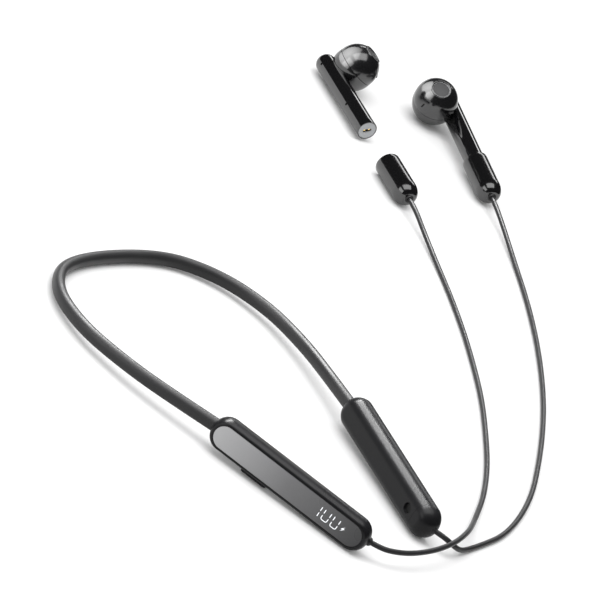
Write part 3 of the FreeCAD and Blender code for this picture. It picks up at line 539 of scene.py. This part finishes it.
def make_digits(place, face):
    """The lit 100 and a bolt: dashes with a U under each nought. They read towards the cord."""
    tip = -POD_LENGTH / 2 + DIGITS_FROM_TIP
    mesh = bmesh.new()
    low, high = face - 0.1, face + 0.03
    top, gap, corner = DIGIT_HEIGHT / 2, DIGIT_SPLIT, DIGIT_CORNER

    def stroke(*points):
        ribbon(mesh, [Vector((tip - x, z)) for x, z in points], DIGIT_STROKE, low, high)
    stroke((ONE_AT, gap), (ONE_AT, top))
    stroke((ONE_AT, -gap), (ONE_AT, -top))
    for left in NOUGHTS_AT:
        right = left + DIGIT_WIDTH
        stroke((left, gap), (left, top))
        stroke((right, gap), (right, top))
        bend = [(left, -gap), (left, corner - top)]
        for angle in (30, 60, 90):
            across, down = math.cos(math.radians(angle)), math.sin(math.radians(angle))
            bend.append((left + corner * (1 - across), corner * (1 - down) - top))
        for angle in (0, 30, 60, 90):
            across, down = math.sin(math.radians(angle)), math.cos(math.radians(angle))
            bend.append((right - corner * (1 - across), corner * (1 - down) - top))
        stroke(*bend, (right, -gap))
    bolt = [(5.75, 1.15), (4.5, -0.23), (5.1, -0.23), (4.65, -1.15), (5.9, 0.23), (5.3, 0.23)]
    base = [mesh.verts.new((tip - x, low, z)) for x, z in bolt]
    lit = [mesh.verts.new((tip - x, high, z)) for x, z in bolt]
    mesh.faces.new(base)
    mesh.faces.new(list(reversed(lit)))
    for i in range(len(bolt)):
        j = (i + 1) % len(bolt)
        mesh.faces.new((base[i], lit[i], lit[j], base[j]))
    finish_mesh(mesh, "lit_digits", place, SURFACES["digits"], "neckband",
                ["display_digits"])


def make_button(place):
    """The bar button under the left pod, with rounded ends and a softened face."""
    turn = (place @ Matrix.Translation(Vector(BUTTON_PLACE) * MM)
            @ Matrix.Rotation(math.radians(90), 4, "X"))
    bottom = -POD_HEIGHT / 2 - BUTTON_PROUD
    rings = []
    for shrink, rise in ((0.35, 0.0), (0.12, 0.1), (0.0, 0.4), (0.0, 2.0)):
        rings.append(rounded_outline(BUTTON_LENGTH / 2 - shrink, BUTTON_WIDTH / 2 - shrink,
                                     BUTTON_CORNER - shrink, bottom + rise, 8, 8))
    mesh = bmesh.new()
    skin(mesh, rings)
    finish_mesh(mesh, "side_button", turn, SURFACES["button"], "function_button",
                ["function_button"])


def make_right_pod():
    """The right pod in two pieces, so that the seam of its end cap shows."""
    place = pod_basis("right")
    seam = POD_LENGTH / 2 - END_CAP
    for name, way, nodes in (("right_pod_shell", 1, ["right_outer_shell", "right_inner_shell"]),
                             ("right_pod_cap", -1, ["right_end_cap"])):
        mesh = bmesh.new()
        skin(mesh, pod_rings())
        cut = bmesh.ops.bisect_plane(mesh, geom=mesh.verts[:] + mesh.edges[:] + mesh.faces[:],
                                     plane_co=(seam - way * END_CAP_SEAM / 2, 0, 0),
                                     plane_no=(way, 0, 0), clear_outer=True)
        edges = [item for item in cut["geom_cut"] if isinstance(item, bmesh.types.BMEdge)]
        bmesh.ops.contextual_create(mesh, geom=edges)
        piece = finish_mesh(mesh, name, place, SURFACES["pod"], "neckband", nodes)
        if name == "right_pod_shell":
            add_pod_microphone(piece, place)


def add_pod_microphone(pod, place):
    """A dished hole in the right pod's inner face, with a dark ring of mesh round its bore."""
    spot = Matrix.Translation(
        Vector((POD_LENGTH / 2 - POD_MIC_FROM_TIP, -POD_DEPTH / 2, 0)) * MM)
    upward = Matrix.Rotation(math.radians(90), 4, "X")
    deep = 0.9
    dish = lathe([(0, -2 * deep), (0.6, -2 * deep), (0.6, -deep), (1.75, -deep),
                  (1.95, -0.6 * deep), (2.05, 0.0), (2.3, 1.0), (0, 1.0)], 48)
    carve(pod, [(dish, place @ spot @ upward)])
    ring = lathe([(0.62, -deep + 0.04), (1.72, -deep + 0.04), (1.72, -deep - 0.1),
                  (0.62, -deep - 0.1), (0.62, -deep + 0.04)], 48)
    bmesh.ops.remove_doubles(ring, verts=ring.verts, dist=0.0001)
    finish_mesh(ring, "pod_mic_mesh", place @ spot @ upward, SURFACES["dark"], "neckband", [])


# ---------------------------------------------------------------- band
def make_band():
    """The round rubber band: one oval tube along a smooth line between the pods."""
    ends = []
    for side, way in (("left", 1), ("right", -1)):
        reach = way * (POD_LENGTH / 2 - BAND_IN_POD)
        ends.append(pod_basis(side) @ Vector((reach * MM, 0, 0)))
    back = Vector((0, max(y for x, y in BAND_LINE), BAND_HEIGHT / 2 * MM))
    normal = (ends[1] - ends[0]).cross(back - ends[0]).normalized()
    if normal.z < 0:
        normal = -normal

    def drop(x, y):
        """The point above (x, y) in the plane through both pods and the back of the band."""
        point = Vector((x, y, 0))
        return point - Vector((0, 0, (point - back).dot(normal) / normal.z))
    points = [ends[0]] + [drop(x, y) for x, y in BAND_LINE] + [ends[1]]
    line = route_line("band_line", points)
    rings = []
    count = 40
    for i, point in enumerate(line):
        run = (line[min(i + 1, len(line) - 1)] - line[max(i - 1, 0)]).normalized()
        across = run.cross(normal).normalized()
        ring = []
        for k in range(count):
            angle = 2 * math.pi * k / count
            ring.append((point + across * (BAND_WIDTH / 2 * MM * math.cos(angle))
                         + normal * (BAND_HEIGHT / 2 * MM * math.sin(angle))) / MM)
        rings.append(ring)
    mesh = bmesh.new()
    skin(mesh, rings)
    finish_mesh(mesh, "band_tube", Matrix.Identity(4), SURFACES["rubber"], "neckband",
                ["band_sleeve"])


# ---------------------------------------------------------------- cords and cups
def make_cords():
    for side, points in CORDS.items():
        curve = smooth_curve(side + "_cord_line", [Vector(point) for point in points])
        curve.data.bevel_depth = CORD_DIAMETER / 2 * MM
        curve.data.bevel_resolution = 8
        curve.data.materials.append(SURFACES["cord"])
        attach(curve, "neckband")
        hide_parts(side + "_cord")


def make_cup(side):
    """A gloss cup: an open socket, a straight body and a domed bottom round the cord."""
    bore = STEM_RADIUS + SOCKET_GAP
    bottom, foot = -CUP_BODY, 2.0
    profile = [(bore, 0.0), (bore, SOCKET_DEPTH - 0.2), (bore + 0.15, SOCKET_DEPTH),
               (CUP_RADIUS - 0.25, SOCKET_DEPTH), (CUP_RADIUS - 0.07, SOCKET_DEPTH - 0.07),
               (CUP_RADIUS, SOCKET_DEPTH - 0.25), (CUP_RADIUS, SOCKET_DEPTH - 2.0),
               (CUP_RADIUS, bottom + CUP_DOME + 4.0), (CUP_RADIUS, bottom + CUP_DOME)]
    profile += arc((foot, bottom + CUP_DOME), (CUP_RADIUS - foot, CUP_DOME), 0, -90, 16)[1:]
    profile += [(CORD_HOLE + 0.03, bottom + 0.02), (CORD_HOLE, bottom + 0.3),
                (CORD_HOLE, bottom + 1.2)]
    finish_mesh(lathe(profile), side + "_cup_body", cup_basis(side), SURFACES["cup"],
                "neckband", [side + "_cup_shell"])


# ---------------------------------------------------------------- buds
def make_stem(side):
    """A gloss stem with two microphone holes, a grey slotted end cap and a vent near the head."""
    place = bud_basis(side)
    inside = STEM_RADIUS - STEM_WALL
    profile = [(inside, 1.0), (inside, 0.05), (inside + 0.1, 0.0), (STEM_RADIUS - 0.12, 0.0),
               (STEM_RADIUS - 0.03, 0.05), (STEM_RADIUS, 0.2), (STEM_RADIUS, 3.0),
               (STEM_RADIUS, 20.0), (STEM_RADIUS, STEM_LENGTH - 4.0),
               (STEM_RADIUS, STEM_LENGTH)]
    profile += arc((STEM_RADIUS - STEM_TOP, STEM_LENGTH), (STEM_TOP, STEM_TOP), 0, 90, 14)[1:]
    profile += [(0.4, STEM_LENGTH + STEM_TOP), (0, STEM_LENGTH + STEM_TOP)]
    stem = finish_mesh(lathe(profile), side + "_stem_body", place, SURFACES["bud"],
                       side + "_bud", [side + "_stem_shell"])
    outward = math.radians(180 - HAND[side] * MESH_TURN)
    aim = Matrix.Rotation(outward, 4, "Z") @ Matrix.Rotation(math.radians(90), 4, "Y")
    bores = []
    for height in MESH_HEIGHTS:
        drill = lathe([(MESH_RADIUS, STEM_RADIUS - 0.5), (MESH_RADIUS, STEM_RADIUS + 1)], 24)
        bores.append((drill, place @ Matrix.Translation(Vector((0, 0, height)) * MM) @ aim))
    carve(stem, bores)
    rim = inside - 0.01
    disc = lathe([(0, 0.6), (rim, 0.6), (rim, 0.1), (rim - 0.1, 0.02), (0, 0.02)])
    cap = finish_mesh(disc, side + "_stem_end", place, SURFACES["grey"], side + "_bud",
                      [side + "_stem_cap"])
    half_length, half_width = CAP_SLOT
    slot = bmesh.new()
    skin(slot, [rounded_outline(half_length, half_width, half_width - 0.01, y) for y in (-1, 1)])
    carve(cap, [(slot, place @ Matrix.Rotation(math.radians(90), 4, "X"))])
    vent = lathe([(0, -1)] + arc((0, 0), (1, 1), -75, 75, 12) + [(0, 1)], 32)
    lie = (Matrix.Rotation(HAND[side] * math.radians(STEM_VENT_TURN), 4, "Z")
           @ Matrix.Translation(Vector((STEM_RADIUS - 0.4, 0, STEM_VENT_HEIGHT)) * MM)
           @ Matrix.Diagonal((*STEM_VENT_HALF, 1)))
    finish_mesh(vent, side + "_stem_vent", place @ lie, SURFACES["dark"], side + "_bud", [])


def make_head(side):
    """A round head that narrows to the nozzle, with a seam between its back and its cover."""
    place = nozzle_basis(side)
    ball = [(0, -HEAD_RADIUS)] + arc((0, 0), (HEAD_RADIUS, HEAD_RADIUS), -86, 7, 34)
    back = [point for point in ball if point[1] < HEAD_SEAM - 0.1]
    edge = math.sqrt(HEAD_RADIUS ** 2 - HEAD_SEAM ** 2)
    back += [(edge, HEAD_SEAM - 0.1), (edge - 0.12, HEAD_SEAM - 0.03),
             (edge - 0.3, HEAD_SEAM - 0.02)]
    finish_mesh(lathe(back, 96), side + "_head_back", place, SURFACES["head"], side + "_bud",
                [side + "_head_shell"])
    neck = lathe([(3.9, -0.5), (3.5, 1.2), (3.3, 2.6), (3.5, 4.2), (4.2, 6.2)], 64)
    across = (Matrix.Translation(Vector((STEM_RADIUS - 1.4, 0, NECK_HEIGHT)) * MM)
              @ Matrix.Rotation(math.radians(90), 4, "Y"))
    finish_mesh(neck, side + "_neck", bud_basis(side) @ across, SURFACES["head"],
                side + "_bud", [])
    cover = [(edge - 0.3, HEAD_SEAM + 0.02), (edge - 0.12, HEAD_SEAM + 0.03),
             (edge, HEAD_SEAM + 0.1)]
    start, lean = (edge, HEAD_SEAM + 0.1), (HEAD_RADIUS, 6.9)
    end = (NOZZLE_RADIUS + 0.1, NOZZLE_REACH - 0.35)
    steps = 22
    for i in range(1, steps + 1):
        t = i / steps
        cover.append(tuple((1 - t) ** 2 * a + 2 * t * (1 - t) * b + t * t * c
                           for a, b, c in zip(start, lean, end)))
    lip = NOZZLE_LIP
    cover += arc((NOZZLE_RADIUS - lip, NOZZLE_REACH - lip), (lip, lip), 20, 180, 8)
    cover.append((NOZZLE_RADIUS - 2 * lip, NOZZLE_REACH - 1))
    shell = finish_mesh(lathe(cover, 96), side + "_head_cover", place, SURFACES["head"],
                        side + "_bud", [side + "_front_cover"])
    add_head_vent(side, shell)
    add_nozzle(side, place)


def add_head_vent(side, cover):
    """A dark slit that stands on the cover, level with the side of the nozzle."""
    turn = bud_basis(side).to_3x3()
    mirror = Vector((1, HAND[side], 1))
    facing = (turn @ (Vector(VENT_FACING) * mirror)).normalized()
    along = turn @ (Vector(VENT_ALONG) * mirror)
    along = (along - facing * along.dot(facing)).normalized()
    centre = head_centre(side)
    bpy.context.view_layer.update()
    hit = cover.ray_cast(centre + facing * 3 * HEAD_RADIUS * MM, -facing)[1]
    reach = (hit - centre).length / MM
    half_length, half_width = HEAD_VENT
    slit = bmesh.new()
    skin(slit, [rounded_outline(half_length, half_width, half_width - 0.01, y)
                for y in (reach - 0.5, reach + 0.09)])
    finish_mesh(slit, side + "_head_vent", basis(centre, along, along.cross(facing)),
                SURFACES["dark"], side + "_bud", [])


def add_nozzle(side, place):
    """The crowned mesh in the nozzle, with a thin bright hoop round it."""
    bore = NOZZLE_RADIUS - 2 * NOZZLE_LIP
    level, crown, steps = NOZZLE_REACH - 0.55, 0.25, 8
    dome = [(0, level + crown)]
    dome += [(bore * i / steps, level + crown * (1 - (i / steps) ** 2))
             for i in range(1, steps + 1)]
    dome.append((bore, level - 0.3))
    finish_mesh(lathe(dome), side + "_nozzle_mesh", place, SURFACES["grille"], side + "_bud",
                [side + "_nozzle_grille"])
    wire = 0.12
    rows = [circle(radius, height)
            for radius, height in arc((bore - wire, level + wire), (wire, wire), 0, 360, 12)]
    hoop = bmesh.new()
    skin(hoop, rows, capped=False)
    bmesh.ops.remove_doubles(hoop, verts=hoop.verts, dist=0.0001)
    finish_mesh(hoop, side + "_nozzle_rim", place, SURFACES["rim"], side + "_bud", [])


# ---------------------------------------------------------------- CAD nodes that stay
KEPT = {
    "cord": ["left_cord_gland", "right_cord_gland", "left_cup_relief", "right_cup_relief",
             "port_cover", "band_cable"],
    "steel": ["band_core_wire", "left_board_screws", "right_board_screws", "usb_c_port",
              "vibration_motor", "left_driver", "right_driver"],
    "board": ["display_board", "main_board", "charging_board", "left_bud_board",
              "right_bud_board"],
    "foil": ["left_battery", "right_battery", "left_bud_battery", "right_bud_battery"],
    "dark": ["button_switch", "pod_microphone", "left_contact_block", "right_contact_block",
             "left_microphone_meshes", "right_microphone_meshes"],
    "gold": ["left_contact_pins", "right_contact_pins", "left_bud_contacts",
             "right_bud_contacts"],
    "nickel": ["left_cup_magnet", "right_cup_magnet", "left_bud_magnet", "right_bud_magnet"],
}


def dress_cad_nodes():
    for surface, names in KEPT.items():
        for name in names:
            node = frame["nodes"][name]
            node.data.materials.clear()
            node.data.materials.append(SURFACES[surface])


# ---------------------------------------------------------------- stage
def add_floor():
    reach = 6.0
    mesh = bmesh.new()
    mesh.faces.new([mesh.verts.new((x * reach, y * reach, 0)) for x, y in
                    ((-1, -1), (1, -1), (1, 1), (-1, 1))])
    data = bpy.data.meshes.new("floor")
    mesh.to_mesh(data)
    mesh.free()
    floor = bpy.data.objects.new("floor", data)
    floor.location = (0.0, 0.0, -0.0001)
    bpy.context.scene.collection.objects.link(floor)
    material, shader = new_material("floor_white", (0.9, 0.9, 0.9))
    shader.inputs["Roughness"].default_value = 0.9
    data.materials.append(material)


# The room's brightness as it lights the set, and as the camera and the gloss see it.
ROOM_FILL, ROOM_IN_GLOSS = 0.75, 0.04
# Softboxes: name, direction from the set, distance, size in metres, power in watts.
SOFTBOXES = [
    ("overhead", (-0.2, 0.12, 0.97), 1.3, (0.9, 1.6), 13.0),
    ("back_strip", (0.779, 0.45, 0.436), 1.55, (0.9, 0.2), 2.5),
    ("left_side", (-0.9, 0.33, 0.27), 1.6, (1.3, 0.75), 8.0),
]
SATIN = ("pod", "rubber", "cord", "button")
# Softboxes that light the named surfaces alone: as above, then the spread in degrees.
FLAGGED_SOFTBOXES = [
    ("satin_top", (-0.2, 0.12, 0.97), 1.3, (0.3, 1.6), 34.0, 180.0, SATIN),
    ("satin_far", (0.19, 0.63, 0.75), 1.3, (0.9, 0.35), 40.0, 180.0, SATIN),
    ("head_soft", (-0.465, 0.772, 0.435), 1.28, (2.8, 2.8), 60.0, 120.0, ("head",)),
]


def add_light(name, direction, distance, size, power):
    data = bpy.data.lights.new(name, "AREA")
    data.shape = "RECTANGLE"
    data.size, data.size_y = size
    data.energy = power
    away = Vector(direction).normalized()
    light = bpy.data.objects.new(name, data)
    light.location = TARGET + away * distance
    light.rotation_euler = (-away).to_track_quat("-Z", "Y").to_euler()
    bpy.context.scene.collection.objects.link(light)
    return light


def add_lights():
    """A bright room that the gloss parts see as dark, then the softboxes."""
    world = bpy.data.worlds.new("world")
    bpy.context.scene.world = world
    world.use_nodes = True
    nodes, links = world.node_tree.nodes, world.node_tree.links
    background = nodes["Background"]
    path = nodes.new("ShaderNodeLightPath")
    level = nodes.new("ShaderNodeMapRange")
    level.inputs["To Min"].default_value = ROOM_IN_GLOSS
    level.inputs["To Max"].default_value = ROOM_FILL
    links.new(path.outputs["Is Diffuse Ray"], level.inputs["Value"])
    links.new(level.outputs["Result"], background.inputs["Strength"])
    background.inputs["Color"].default_value = (1, 1, 1, 1)
    for softbox in SOFTBOXES:
        add_light(*softbox)
    for name, direction, distance, size, power, spread, surfaces in FLAGGED_SOFTBOXES:
        light = add_light(name, direction, distance, size, power)
        light.data.spread = math.radians(spread)
        lit = bpy.data.collections.new(name + "_parts")
        chosen = [SURFACES[surface] for surface in surfaces]
        for piece in bpy.context.scene.objects:
            if piece.type in ("MESH", "CURVE") and piece.active_material in chosen:
                lit.objects.link(piece)
        light.light_linking.receiver_collection = lit


add_camera()
add_floor()
make_band()
make_left_pod()
make_right_pod()
make_cords()
for side in ("left", "right"):
    make_cup(side)
    make_stem(side)
    make_head(side)
dress_cad_nodes()
add_lights()
bpy.context.scene.view_settings.view_transform = "Standard"
